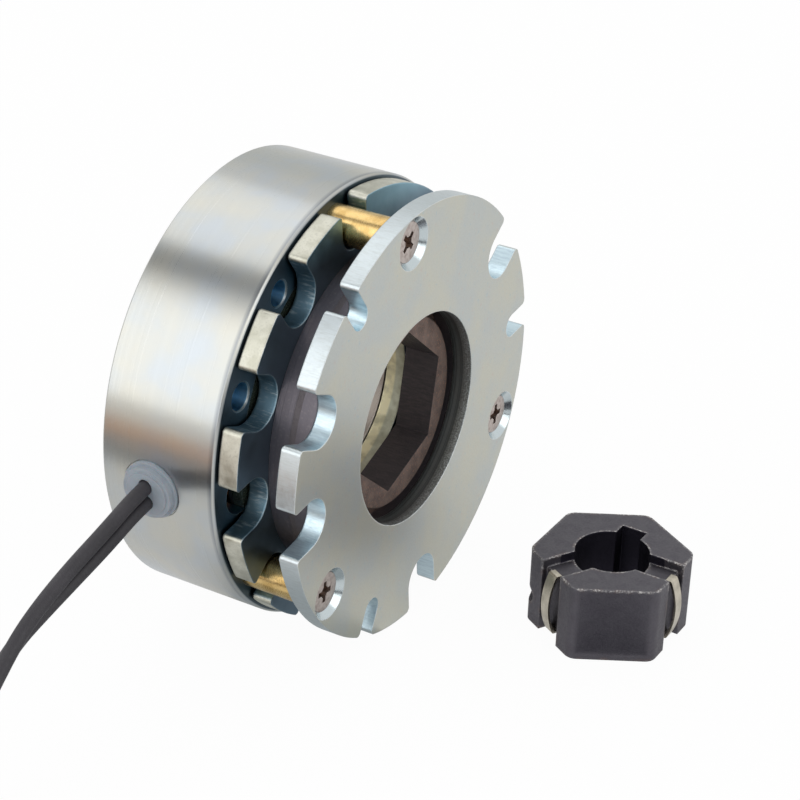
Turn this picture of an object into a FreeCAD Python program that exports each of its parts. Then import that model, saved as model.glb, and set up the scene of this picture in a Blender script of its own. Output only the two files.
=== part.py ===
"""Spring-applied electromagnetic motor brake with its loose hexagon hub.

The brake axis is +X, from the mounting face of the magnet body towards the side plate, and +Z
is up. The origin is the centre of the mounting face. The brake lies on its rim, and the hub
stands on the same floor beside it. Lengths are in millimetres and angles in degrees.
"""
import FreeCAD, Part
import math
import os
import Sketcher
from FreeCAD import Placement, Rotation, Vector

doc = FreeCAD.newDocument("MotorBrake")

SIZES = {
    # Magnet body
    "core_length": 23.4,
    "core_edge": 0.4,
    "groove_edge": 3.5,
    "groove_width": 10.5,
    "pole_width": 6.7,
    "groove_depth": 17.4,
    # The circle of mounting holes, screws and notches
    "mount_step": 5.3,
    "mount_edge": 5.3,
    "narrow_hole": 2.35,
    "wide_hole": 2.55,
    "hole_mouth": 0.25,
    "screw_angle": 95.7,
    "narrow_step": 30.0,
    "wide_step": 60.0,
    "lead_step": 90.0,
    # Springs that press the armature forward
    "spring_pocket": 2.6,
    "spring_pocket_depth": 12.0,
    "spring_step": 60.0,
    "spring_wire": 0.45,
    "spring_mean": 1.9,
    "spring_turns": 5.5,
    # Coil
    "coil_gap": 0.05,
    "bobbin_wall": 0.8,
    "bobbin_flange": 0.9,
    "bobbin_length": 14.9,
    "flange_gap": 0.4,
    "winding_gap": 0.8,
    "potting_inset": 0.3,
    # Where the leads come out
    "cable_rise": 4.4,
    "cable_angle": 184.5,
    "cable_hole": 3.9,
    "spot_face": 5.7,
    "spot_depth": 0.4,
    "lead_pocket": 4.6,
    "lead_pocket_inset": 3.1,
    "grommet_flange": 5.5,
    "grommet_flange_thick": 0.8,
    "grommet_collar": 4.9,
    "grommet_collar_height": 1.9,
    "grommet_nose": 4.1,
    "grommet_nose_height": 0.25,
    "grommet_shank_depth": 3.4,
    "press_gap": 0.05,
    "lead_radius": 1.35,
    "lead_spacing": 3.2,
    "lead_sink": 5.3,
    "lead_straight": 3.4,
    "splice_radius": 1.5,
    # Armature
    "air_gap": 0.25,
    "armature_step": 0.8,
    "armature_bore_step": 0.2,
    "armature_thick": 4.0,
    "armature_notch": 5.0,
    "collar_notch": 4.0,
    "mouth_round": 0.9,
    "edge_round": 0.45,
    # Rotor
    "face_gap": 0.05,
    "rotor_flats": 26.8,
    "rotor_turn": 49.0,
    "boss_wall": 5.0,
    "rotor_boss_length": 7.0,
    "rotor_boss_edge": 0.3,
    "boss_inset": 0.1,
    "web_thick": 1.2,
    "lining_gap": 2.5,
    "lining_width": 10.3,
    "front_lining_thick": 3.05,
    "rear_lining_thick": 3.6,
    # Side plate, its collars and screws
    "plate_step": 0.3,
    "plate_bore_step": 1.75,
    "plate_thick": 4.0,
    "narrow_notch": 2.35,
    "narrow_inset": 0.2,
    "wide_notch": 4.8,
    "collar_radius": 3.5,
    "collar_bore": 2.15,
    "screw_radius": 2.0,
    "screw_fit": 0.05,
    "plate_screw_hole": 2.2,
    "screw_head": 3.75,
    "screw_sink": 1.1,
    "screw_seat_gap": 0.05,
    "screw_grip": 9.5,
    "screw_tip": 0.4,
    "tapped_spare": 2.0,
    "recess_reach": 2.05,
    "recess_arm": 0.5,
    "recess_depth": 1.6,
    "recess_eye": 1.1,
    "recess_turn_1": 39.3,
    "recess_turn_2": 48.3,
    "recess_turn_3": 20.3,
    # Hub
    "hub_x": 72.4,
    "hub_y": 17.4,
    "hub_turn": -1.5,
    "hub_play": 0.2,
    "hub_height": 15.3,
    "hub_bore": 7.0,
    "hub_corner_round": 2.4,
    "key_width": 5.0,
    "key_depth": 2.3,
    "channel_width": 6.2,
    "channel_depth": 1.8,
    "side_groove_depth": 1.2,
    "clip_width": 2.4,
    "clip_thick": 0.4,
    "clip_bow": 1.0,
    "clip_inset": 0.4,
    "clip_leg": 1.6,
    "clip_bend": 0.5,
    "clip_gap": 0.05,
    "set_screw_height": 5.6,
    "set_screw_radius": 1.65,
    "set_screw_length": 5.0,
    "set_screw_inset": 0.1,
    "set_screw_flats": 2.0,
    "set_screw_socket": 2.0,
    # The coiled rest of the leads
    "coil_x": -6.475,
    "coil_y": -124.1,
    "coil_mean": 16.0,
    "coil_lane": 2.75,
    "coil_height": 11.45,
    "tie_thick": 0.8,
    "tie_width": 2.6,
    "tie_angle": 215.0,
    "tie_head": 4.2,
    "tie_gap": 0.05,
    "tip_radius": 0.6,
    "tip_length": 7.0,
    "tip_1_angle": 109.8,
    "tip_1_run": 10.0,
    "tip_2_angle": 300.2,
    "tip_2_run": 13.5,
}

SETS = 3
SQUARE = 90.0
FULL_TURN = 360.0
HEXAGON_CORNER = math.tan(math.radians(30))
FAR = 60.0
ON_LINE = 0.01


class Size:
    """A number together with the formula that the document keeps for it."""

    def __init__(self, value, formula):
        self.value = value
        self.formula = formula

    def combined(self, other, sign, value):
        return Size(value, "(%s %s %s)" % (self.formula, sign, formula(other)))

    def __add__(self, other):
        return self.combined(other, "+", self.value + number(other))

    def __sub__(self, other):
        return self.combined(other, "-", self.value - number(other))

    def __mul__(self, other):
        return self.combined(other, "*", self.value * number(other))

    def __truediv__(self, other):
        return self.combined(other, "/", self.value / number(other))

    def __neg__(self):
        return self * -1


def number(size):
    """The plain number of a size, or of a number."""
    return size.value if isinstance(size, Size) else size


def formula(size):
    """The document's formula of a size, or of a number."""
    return size.formula if isinstance(size, Size) else repr(size)


def cosine(angle):
    return Size(math.cos(math.radians(angle.value)), "cos(%s * 1 deg)" % angle.formula)


def sine(angle):
    return Size(math.sin(math.radians(angle.value)), "sin(%s * 1 deg)" % angle.formula)


def fill_sheet():
    """Write the driving sizes into the document's sheet, each under its own name."""
    sheet = doc.addObject("Spreadsheet::Sheet", "Sizes")
    sizes = {}
    for row, (name, value) in enumerate(SIZES.items(), start=1):
        sheet.set("A%d" % row, name)
        sheet.set("B%d" % row, str(value))
        sheet.setAlias("B%d" % row, name)
        sizes[name] = Size(value, "Sizes.%s" % name)
    doc.recompute()
    return sizes


class Named:
    """Gives each size as an attribute, so that a formula reads like a sentence."""

    def __init__(self, sizes):
        self.__dict__.update(sizes)


size = Named(fill_sheet())

# Radii, from the rotor's hexagon outwards
rotor_boss = size.rotor_flats / 2 + size.boss_wall
lining_inner = rotor_boss + size.lining_gap
lining_outer = lining_inner + size.lining_width
mount_circle = lining_outer + size.mount_step
core_radius = mount_circle + size.mount_edge
groove_outer = mount_circle - size.groove_edge
groove_inner = groove_outer - size.groove_width
core_bore = groove_inner - size.pole_width
spring_circle = core_bore + size.pole_width / 2
armature_bore = core_bore + size.armature_bore_step
armature_radius = core_radius - size.armature_step
plate_bore = rotor_boss + size.plate_bore_step
plate_radius = core_radius - size.plate_step
narrow_circle = mount_circle - size.narrow_inset
spot_seat = core_radius - size.spot_depth
lead_start = core_radius - size.lead_sink
first_bend = core_radius + size.lead_straight
hub_flats = size.rotor_flats - size.hub_play
hub_apothem = hub_flats / 2
floor = -core_radius

# Places along the brake axis that several pieces share
groove_floor = size.core_length - size.groove_depth
cable_x = groove_floor + size.cable_rise
armature_back = size.core_length + size.air_gap
armature_front = armature_back + size.armature_thick
rear_lining_back = armature_front + size.face_gap
web_back = rear_lining_back + size.rear_lining_thick
web_front = web_back + size.web_thick
front_lining_front = web_front + size.front_lining_thick
plate_back = front_lining_front + size.face_gap
plate_front = plate_back + size.plate_thick
bobbin_front = groove_floor + size.bobbin_length


def new_body(name):
    body = doc.addObject("PartDesign::Body", name)
    body.Label = name
    return body


def put(piece, x=0.0, y=0.0, z=0.0, axis=(1, 0, 0), turn=0.0):
    """Place a piece and bind its place to the sheet."""
    spot = Vector(number(x), number(y), number(z))
    piece.Placement = Placement(spot, Rotation(Vector(*axis), number(turn)))
    for letter, value in (("x", x), ("y", y), ("z", z)):
        if isinstance(value, Size):
            piece.setExpression("Placement.Base." + letter, value.formula)
    if isinstance(turn, Size):
        piece.setExpression("Placement.Rotation.Angle", turn.formula)


def sketch_on(body, role, name, lift=0.0, turn=0.0, axis=(0, 0, 1), shift=None):
    """A sketch on one of the body's own origin planes, lifted along the plane's normal."""
    sketch = body.newObject("Sketcher::SketchObject", body.Name + "_" + name)
    planes = [item for item in body.Origin.OriginFeatures if item.Role == role]
    sketch.AttachmentSupport = [(planes[0], "")]
    sketch.MapMode = "FlatFace"
    base = shift or (0.0, 0.0, lift)
    spot = Vector(*[number(value) for value in base])
    sketch.AttachmentOffset = Placement(spot, Rotation(Vector(*axis), number(turn)))
    for letter, value in zip("xyz", base):
        if isinstance(value, Size):
            sketch.setExpression("AttachmentOffset.Base." + letter, value.formula)
    if isinstance(turn, Size):
        sketch.setExpression("AttachmentOffset.Rotation.Angle", turn.formula)
    return sketch


def bind(sketch, kind, value, *where):
    """Add a constraint and tie its value to the sheet."""
    index = sketch.addConstraint(Sketcher.Constraint(kind, *where, number(value)))
    if isinstance(value, Size):
        sketch.setExpression("Constraints[%d]" % index, value.formula)


def hold_point(sketch, line, end, across, up):
    """Fix one point of a line. A plain 0 keeps the point on that axis."""
    if number(across) == 0:
        sketch.addConstraint(Sketcher.Constraint("PointOnObject", line, end, -2))
    else:
        bind(sketch, "DistanceX", across, -1, 1, line, end)
    if number(up) == 0:
        sketch.addConstraint(Sketcher.Constraint("PointOnObject", line, end, -1))
    else:
        bind(sketch, "DistanceY", up, -1, 1, line, end)


def polygon(sketch, corners):
    """A closed outline of straight lines through the corners."""
    spots = [Vector(number(across), number(up), 0) for across, up in corners]
    lines = []
    for here, there in zip(spots, spots[1:] + spots[:1]):
        lines.append(sketch.addGeometry(Part.LineSegment(here, there), False))
    for line, following in zip(lines, lines[1:] + lines[:1]):
        sketch.addConstraint(Sketcher.Constraint("Coincident", line, 2, following, 1))
    for line, (across, up) in zip(lines, corners):
        hold_point(sketch, line, 1, across, up)


def rectangle(sketch, left, low, right, high):
    polygon(sketch, [(left, low), (right, low), (right, high), (left, high)])


def circle(sketch, radius, across=0.0, up=0.0):
    spot = Vector(number(across), number(up), 0)
    ring = Part.Circle(spot, Vector(0, 0, 1), number(radius))
    line = sketch.addGeometry(ring, False)
    hold_point(sketch, line, 3, across, up)
    bind(sketch, "Radius", radius, line)


def hexagon(sketch, flats):
    """A hexagon whose first flat faces the sketch's own first axis."""
    half = flats / 2
    side = half * HEXAGON_CORNER
    polygon(sketch, [(half, -side), (half, side), (0, side * 2),
                     (-half, side), (-half, -side), (0, side * -2)])


def open_notch(sketch, centre, radius):
    """A round-bottomed notch that opens outwards along the sketch's first axis."""
    middle = number(centre)
    half = number(radius)
    bottom = Part.Circle(Vector(middle, 0, 0), Vector(0, 0, 1), half)
    arc = sketch.addGeometry(Part.ArcOfCircle(bottom, math.pi / 2, 3 * math.pi / 2), False)
    corners = [Vector(middle, -half, 0), Vector(FAR, -half, 0),
               Vector(FAR, half, 0), Vector(middle, half, 0)]
    lines = []
    for here, there in zip(corners, corners[1:]):
        lines.append(sketch.addGeometry(Part.LineSegment(here, there), False))
    low, end, high = lines
    sketch.addConstraint(Sketcher.Constraint("Tangent", arc, 2, low, 1))
    sketch.addConstraint(Sketcher.Constraint("Coincident", low, 2, end, 1))
    sketch.addConstraint(Sketcher.Constraint("Coincident", end, 2, high, 1))
    sketch.addConstraint(Sketcher.Constraint("Tangent", high, 2, arc, 1))
    sketch.addConstraint(Sketcher.Constraint("Horizontal", low))
    sketch.addConstraint(Sketcher.Constraint("Horizontal", high))
    sketch.addConstraint(Sketcher.Constraint("Vertical", end))
    sketch.addConstraint(Sketcher.Constraint("PointOnObject", arc, 3, -1))
    bind(sketch, "DistanceX", centre, -1, 1, arc, 3)
    bind(sketch, "Radius", radius, arc)
    bind(sketch, "DistanceX", centre + FAR, -1, 1, end, 1)


def turned(body, sketch, axis="H_Axis"):
    """Turn a profile about one of its sketch's axes."""
    feature = body.newObject("PartDesign::Revolution", sketch.Name + "_turned")
    feature.Profile = sketch
    feature.ReferenceAxis = (sketch, [axis])
    feature.Angle = FULL_TURN
    doc.recompute()
    return feature


def padded(body, sketch, length):
    feature = body.newObject("PartDesign::Pad", sketch.Name + "_pad")
    feature.Profile = sketch
    feature.Length = number(length)
    feature.setExpression("Length", length.formula)
    doc.recompute()
    return feature


def cut(body, sketch, depth=None, forward=False):
    """Cut a sketch backward, or forward, to a depth or right through."""
    feature = body.newObject("PartDesign::Pocket", sketch.Name + "_cut")
    feature.Profile = sketch
    feature.Reversed = forward
    if depth is None:
        feature.Type = "ThroughAll"
    else:
        feature.Length = number(depth)
        feature.setExpression("Length", depth.formula)
    doc.recompute()
    return feature


def around(body, feature, sketch, copies=SETS):
    """Repeat a cut evenly about the sketch's normal."""
    pattern = body.newObject("PartDesign::PolarPattern", feature.Name + "_around")
    pattern.Originals = [feature]
    pattern.Axis = (sketch, ["N_Axis"])
    pattern.Angle = FULL_TURN
    pattern.Occurrences = copies
    body.Tip = pattern
    doc.recompute()
    return pattern


def edges_where(feature, test):
    shape = feature.Shape
    return ["Edge%d" % (index + 1) for index, edge in enumerate(shape.Edges) if test(shape, edge)]


def rounded(body, feature, name, radius, test):
    fillet = body.newObject("PartDesign::Fillet", body.Name + "_" + name)
    fillet.Base = (feature, edges_where(feature, test))
    fillet.Radius = number(radius)
    fillet.setExpression("Radius", radius.formula)
    doc.recompute()
    return fillet


def bevelled(body, feature, name, length, test):
    chamfer = body.newObject("PartDesign::Chamfer", body.Name + "_" + name)
    chamfer.Base = (feature, edges_where(feature, test))
    chamfer.Size = number(length)
    chamfer.setExpression("Size", length.formula)
    doc.recompute()
    return chamfer


def axis_distance(point):
    return math.hypot(point.y, point.z)


def joins_two_faces(shape, edge):
    return len(shape.ancestorsOfType(edge, Part.Face)) == 2


def rim_corner(radius):
    """Picks the straight edges where a notch breaks out through the rim."""
    def test(shape, edge):
        ends = [vertex.Point for vertex in edge.Vertexes]
        if len(ends) != 2 or not joins_two_faces(shape, edge):
            return False
        straight = abs(ends[0].y - ends[1].y) + abs(ends[0].z - ends[1].z) < ON_LINE
        return straight and abs(axis_distance(ends[0]) - number(radius)) < ON_LINE
    return test


def outline_edge(place, bore):
    """Picks the edges of the plate's outline, and not of its bore, in one face."""
    def test(shape, edge):
        points = edge.discretize(5)
        flat = all(abs(point.x - number(place)) < ON_LINE for point in points)
        return flat and all(axis_distance(point) > number(bore) + 1 for point in points)
    return test


def circle_edge(place, *radii):
    """Picks the circles of the given radii in one face."""
    def test(shape, edge):
        if not isinstance(edge.Curve, Part.Circle):
            return False
        fits = any(abs(edge.Curve.Radius - number(radius)) < ON_LINE for radius in radii)
        return fits and abs(edge.Curve.Center.x - number(place)) < ON_LINE
    return test


def make_field_core():
    """The magnet body: a turned steel pot with the coil groove and all its holes."""
    body = new_body("field_core")
    front = size.core_length
    rim = core_radius
    shoulder = rim - size.core_edge
    profile = sketch_on(body, "XY_Plane", "profile")
    polygon(profile, [
        (0, core_bore),
        (0, shoulder),
        (size.core_edge, rim),
        (front - size.core_edge, rim),
        (front, shoulder),
        (front, groove_outer),
        (groove_floor, groove_outer),
        (groove_floor, groove_inner),
        (front, groove_inner),
        (front, core_bore),
    ])
    turned(body, profile)

    holes = (
        ("narrow", size.narrow_step, size.narrow_hole),
        ("wide", size.wide_step, size.wide_hole),
    )
    for name, step, radius in holes:
        turn = size.screw_angle + step
        hole = sketch_on(body, "YZ_Plane", name + "_hole", front, turn)
        circle(hole, radius, mount_circle)
        around(body, cut(body, hole), hole)

    tapped = sketch_on(body, "YZ_Plane", "tapped_hole", front, size.screw_angle)
    circle(tapped, size.screw_radius + size.screw_fit, mount_circle)
    around(body, cut(body, tapped, size.screw_grip + size.tapped_spare), tapped)

    turn = size.screw_angle + size.spring_step
    pocket = sketch_on(body, "YZ_Plane", "spring_pocket", front, turn)
    circle(pocket, size.spring_pocket, spring_circle)
    around(body, cut(body, pocket, size.spring_pocket_depth), pocket)

    turn = size.screw_angle + size.lead_step
    pocket = sketch_on(body, "YZ_Plane", "lead_pocket", front, turn)
    circle(pocket, size.lead_pocket, mount_circle - size.lead_pocket_inset)
    cut(body, pocket, size.groove_depth)

    radial_cut(body, "cable_hole", size.cable_hole, groove_outer - 1)
    feature = radial_cut(body, "spot_face", size.spot_face, spot_seat)
    mouths = circle_edge(front, size.narrow_hole, size.wide_hole)
    bevelled(body, feature, "mouths", size.hole_mouth, mouths)
    return body


def radial_cut(body, name, radius, start):
    """A round hole cut outwards, square to the rim, where the leads come out."""
    lean = size.cable_angle - SQUARE
    shift = (0.0, cosine(size.cable_angle) * start, sine(size.cable_angle) * start)
    sketch = sketch_on(body, "XY_Plane", name, turn=lean, axis=(1, 0, 0), shift=shift)
    circle(sketch, radius, cable_x)
    return cut(body, sketch, forward=True)


def make_coil():
    """The bobbin, its copper winding and the cast ring that closes the groove."""
    body = new_body("coil_bobbin")
    wall_inside = groove_inner + size.coil_gap
    wall_outside = wall_inside + size.bobbin_wall
    flange = groove_outer - size.flange_gap
    back = groove_floor + size.bobbin_flange
    front = bobbin_front - size.bobbin_flange
    profile = sketch_on(body, "XY_Plane", "profile")
    polygon(profile, [
        (groove_floor, wall_inside),
        (groove_floor, flange),
        (back, flange),
        (back, wall_outside),
        (front, wall_outside),
        (front, flange),
        (bobbin_front, flange),
        (bobbin_front, wall_inside),
    ])
    turned(body, profile)

    winding = new_body("coil_winding")
    profile = sketch_on(winding, "XY_Plane", "profile")
    rectangle(profile, back + size.coil_gap, wall_outside + size.coil_gap,
              front - size.coil_gap, groove_outer - size.winding_gap)
    turned(winding, profile)

    potting = new_body("coil_potting")
    profile = sketch_on(potting, "XY_Plane", "profile")
    rectangle(profile, bobbin_front + size.coil_gap, wall_inside,
              size.core_length - size.potting_inset, groove_outer - size.coil_gap)
    turned(potting, profile)
    return [body, winding, potting]


def make_springs():
    """Three compression springs, ground flat where they seat."""
    spring = new_feature("torque_springs")
    start = number(size.core_length - size.spring_pocket_depth)
    end = number(armature_back)
    wire = number(size.spring_wire)
    mean = number(size.spring_mean)
    length = end - start
    pitch = length / number(size.spring_turns)
    line = Part.makeHelix(pitch, length + pitch, mean)
    section = Part.Wire(Part.makeCircle(wire, Vector(mean, 0, 0), Vector(0, 1, 0)))
    coil = Part.Wire(line.Edges).makePipeShell([section], True, True)
    coil.translate(Vector(0, 0, -pitch / 2))
    ground = coil.common(Part.makeCylinder(mean + 2 * wire, length))
    ground.rotate(Vector(0, 0, 0), Vector(0, 1, 0), SQUARE)
    copies = []
    for index in range(SETS):
        copy = ground.copy()
        copy.translate(Vector(start, number(spring_circle), 0))
        angle = number(size.screw_angle + size.spring_step) + index * FULL_TURN / SETS
        copy.rotate(Vector(0, 0, 0), Vector(1, 0, 0), angle)
        copies.extend(copy.Solids)
    spring.Shape = Part.makeCompound(copies)
    return spring


def new_feature(name):
    feature = doc.addObject("Part::Feature", name)
    feature.Label = name
    return feature


def make_grommet():
    """The two-hole grommet, seated on its spot face."""
    body = new_body("lead_grommet")
    flange_top = spot_seat + size.grommet_flange_thick
    collar_top = spot_seat + size.grommet_collar_height
    nose_top = collar_top + size.grommet_nose_height
    shank = size.cable_hole - size.press_gap
    profile = sketch_on(body, "XY_Plane", "profile")
    polygon(profile, [
        (0, spot_seat - size.grommet_shank_depth),
        (shank, spot_seat - size.grommet_shank_depth),
        (shank, spot_seat),
        (size.grommet_flange, spot_seat),
        (size.grommet_flange, flange_top),
        (size.grommet_collar, flange_top),
        (size.grommet_collar, collar_top),
        (size.grommet_nose, collar_top),
        (size.grommet_nose, nose_top),
        (0, nose_top),
    ])
    turned(body, profile, "V_Axis")
    holes = sketch_on(body, "XZ_Plane", "lead_holes")
    circle(holes, size.lead_radius, 0, size.lead_spacing / 2)
    circle(holes, size.lead_radius, 0, size.lead_spacing / -2)
    cut(body, holes)
    put(body, x=cable_x, turn=size.cable_angle)
    return body


def lead_exit(reach, side):
    """A point on the line on which a lead leaves, at a distance from the brake axis."""
    angle = math.radians(number(size.cable_angle))
    out = Vector(0, math.cos(angle), math.sin(angle))
    along = Vector(0, math.sin(angle), -math.cos(angle))
    return Vector(number(cable_x), 0, 0) + out * reach + along * side


def make_splices():
    """The sleeved joints between the winding's ends and the leads."""
    splices = new_feature("lead_splices")
    start = number(groove_outer - size.winding_gap)
    end = number(lead_start)
    sleeves = []
    for side in (-0.5, 0.5):
        foot = lead_exit(start, side * number(size.lead_spacing))
        top = lead_exit(end, side * number(size.lead_spacing))
        radius = number(size.splice_radius)
        sleeves.append(Part.makeCylinder(radius, (top - foot).Length, foot, top - foot))
    splices.Shape = Part.makeCompound(sleeves)
    return splices


def notched_plate(body, back, thick, radius, bore, notches):
    """A flat ring with round-bottomed notches, its back edges rolled by the press."""
    front = back + thick
    blank = sketch_on(body, "YZ_Plane", "blank", back)
    circle(blank, radius)
    circle(blank, bore)
    feature = padded(body, blank, thick)
    for name, step, centre, notch, copies in notches:
        turn = size.screw_angle + step
        sketch = sketch_on(body, "YZ_Plane", name, front, turn)
        open_notch(sketch, centre, notch)
        feature = cut(body, sketch)
        if copies > 1:
            feature = around(body, feature, sketch, copies)
    feature = rounded(body, feature, "mouths", size.mouth_round, rim_corner(radius))
    return rounded(body, feature, "rolled_edge", size.edge_round, outline_edge(back, bore))


def make_armature():
    """The steel plate that the springs push forward and the coil pulls back."""
    body = new_body("armature_plate")
    notch = size.armature_notch
    centre = mount_circle
    thick = size.armature_thick
    notched_plate(body, armature_back, thick, armature_radius, armature_bore, [
        ("narrow_notch", size.narrow_step, centre, notch, SETS),
        ("wide_notch", size.wide_step, centre, notch, SETS),
        ("lead_notch", size.lead_step, centre, notch, 1),
        ("collar_notch", 0.0, centre, size.collar_notch, SETS),
    ])
    return body


def make_side_plate():
    """The end plate with its notches and three countersunk screw holes."""
    body = new_body("side_plate")
    thick = size.plate_thick
    feature = notched_plate(body, plate_back, thick, plate_radius, plate_bore, [
        ("narrow_notch", size.narrow_step, narrow_circle, size.narrow_notch, SETS),
        ("wide_notch", size.wide_step, mount_circle, size.wide_notch, SETS),
        ("lead_notch", size.lead_step, mount_circle, size.wide_notch, 1),
    ])
    hole = sketch_on(body, "YZ_Plane", "screw_hole", plate_front, size.screw_angle)
    circle(hole, size.plate_screw_hole, mount_circle)
    feature = around(body, cut(body, hole), hole)
    sink = size.screw_head + size.screw_sink + size.screw_seat_gap - size.plate_screw_hole
    bevelled(body, feature, "sinks", sink, circle_edge(plate_front, size.plate_screw_hole))
    return body


def make_rotor():
    """The disc carrier with its hexagon, and the two friction rings that it holds."""
    body = new_body("rotor_core")
    boss_front = plate_back - size.boss_inset
    boss_back = boss_front - size.rotor_boss_length
    profile = sketch_on(body, "XY_Plane", "profile")
    polygon(profile, [
        (boss_back, 0),
        (boss_back, rotor_boss - size.rotor_boss_edge),
        (boss_back + size.rotor_boss_edge, rotor_boss),
        (web_back, rotor_boss),
        (web_back, lining_outer),
        (web_front, lining_outer),
        (web_front, rotor_boss),
        (boss_front - size.rotor_boss_edge, rotor_boss),
        (boss_front, rotor_boss - size.rotor_boss_edge),
        (boss_front, 0),
    ])
    turned(body, profile)
    hole = sketch_on(body, "YZ_Plane", "hexagon", boss_front, size.rotor_turn)
    hexagon(hole, size.rotor_flats)
    cut(body, hole)
    pieces = [body]
    linings = (
        ("friction_lining_rear", rear_lining_back, web_back),
        ("friction_lining_front", web_front, front_lining_front),
    )
    for name, back, front in linings:
        lining = new_body(name)
        profile = sketch_on(lining, "XY_Plane", "profile")
        rectangle(profile, back, lining_inner, front, lining_outer)
        turned(lining, profile)
        pieces.append(lining)
    return pieces


def on_mount_circle(index):
    """The angle and the place of one of the three plate screws."""
    turn = size.screw_angle + index * FULL_TURN / SETS
    return turn, cosine(turn) * mount_circle, sine(turn) * mount_circle


def make_collar(index):
    """A brass sleeve that sets the distance between magnet body and side plate."""
    body = new_body("collar_%d" % (index + 1))
    sketch = sketch_on(body, "YZ_Plane", "section")
    circle(sketch, size.collar_radius)
    circle(sketch, size.collar_bore)
    padded(body, sketch, plate_back - size.core_length)
    turn, y, z = on_mount_circle(index)
    put(body, size.core_length, y, z, turn=turn)
    return body


def make_plate_screw(index, recess_turn):
    """A countersunk screw with a cross recess."""
    body = new_body("plate_screw_%d" % (index + 1))
    tip = size.core_length - size.screw_grip
    head_top = plate_front - size.screw_sink
    neck = head_top - size.screw_head + size.screw_radius
    profile = sketch_on(body, "XY_Plane", "profile")
    polygon(profile, [
        (tip, 0),
        (tip, size.screw_radius - size.screw_tip),
        (tip + size.screw_tip, size.screw_radius),
        (neck, size.screw_radius),
        (head_top, size.screw_head),
        (head_top, 0),
    ])
    turned(body, profile)
    recess = sketch_on(body, "YZ_Plane", "recess", head_top, recess_turn)
    reach = size.recess_reach
    arm = size.recess_arm
    polygon(recess, [
        (reach, -arm), (reach, arm), (arm, arm), (arm, reach),
        (-arm, reach), (-arm, arm), (-reach, arm), (-reach, -arm),
        (-arm, -arm), (-arm, -reach), (arm, -reach), (arm, -arm),
    ])
    cut(body, recess, size.recess_depth)
    eye = sketch_on(body, "YZ_Plane", "recess_eye", head_top)
    circle(eye, size.recess_eye)
    cut(body, eye, size.recess_depth)
    turn, y, z = on_mount_circle(index)
    put(body, 0.0, y, z, turn=turn)
    return body


def make_hub():
    """The hexagon hub: bore, keyway, spring channels and the set screw's hole."""
    body = new_body("rotor_hub")
    top = size.hub_height
    outline = sketch_on(body, "XY_Plane", "outline")
    hexagon(outline, hub_flats)
    feature = padded(body, outline, size.hub_height)

    def upright(shape, edge):
        ends = [vertex.Point for vertex in edge.Vertexes]
        return abs(abs(ends[0].z - ends[1].z) - number(top)) < ON_LINE

    rounded(body, feature, "corners", size.hub_corner_round, upright)

    bore = sketch_on(body, "XY_Plane", "bore", top)
    circle(bore, size.hub_bore)
    cut(body, bore)
    key = sketch_on(body, "XY_Plane", "keyway", top)
    half = size.key_width / 2
    rectangle(key, -half, 0, half, size.hub_bore + size.key_depth)
    cut(body, key)

    half = size.channel_width / 2
    for name, turn in (("left", -2 * FULL_TURN / 6), ("right", 0.0)):
        channel = sketch_on(body, "XY_Plane", name + "_top_channel", top, turn)
        rectangle(channel, 0, -half, hub_flats, half)
        cut(body, channel, size.channel_depth)
        channel = sketch_on(body, "XY_Plane", name + "_low_channel", 0.0, turn)
        rectangle(channel, 0, -half, hub_flats, half)
        cut(body, channel, size.channel_depth, forward=True)
        groove = sketch_on(body, "XY_Plane", name + "_side_groove", top, turn)
        rectangle(groove, hub_apothem - size.side_groove_depth, -half, hub_flats, half)
        cut(body, groove)

    hole = sketch_on(body, "XZ_Plane", "set_screw_hole", turn=-FULL_TURN / 6, axis=(0, 1, 0))
    circle(hole, size.set_screw_radius + size.screw_fit, 0, size.set_screw_height)
    cut(body, hole, forward=True)
    put(body, size.hub_x, size.hub_y, floor, (0, 0, 1), size.hub_turn)
    return body


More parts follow.
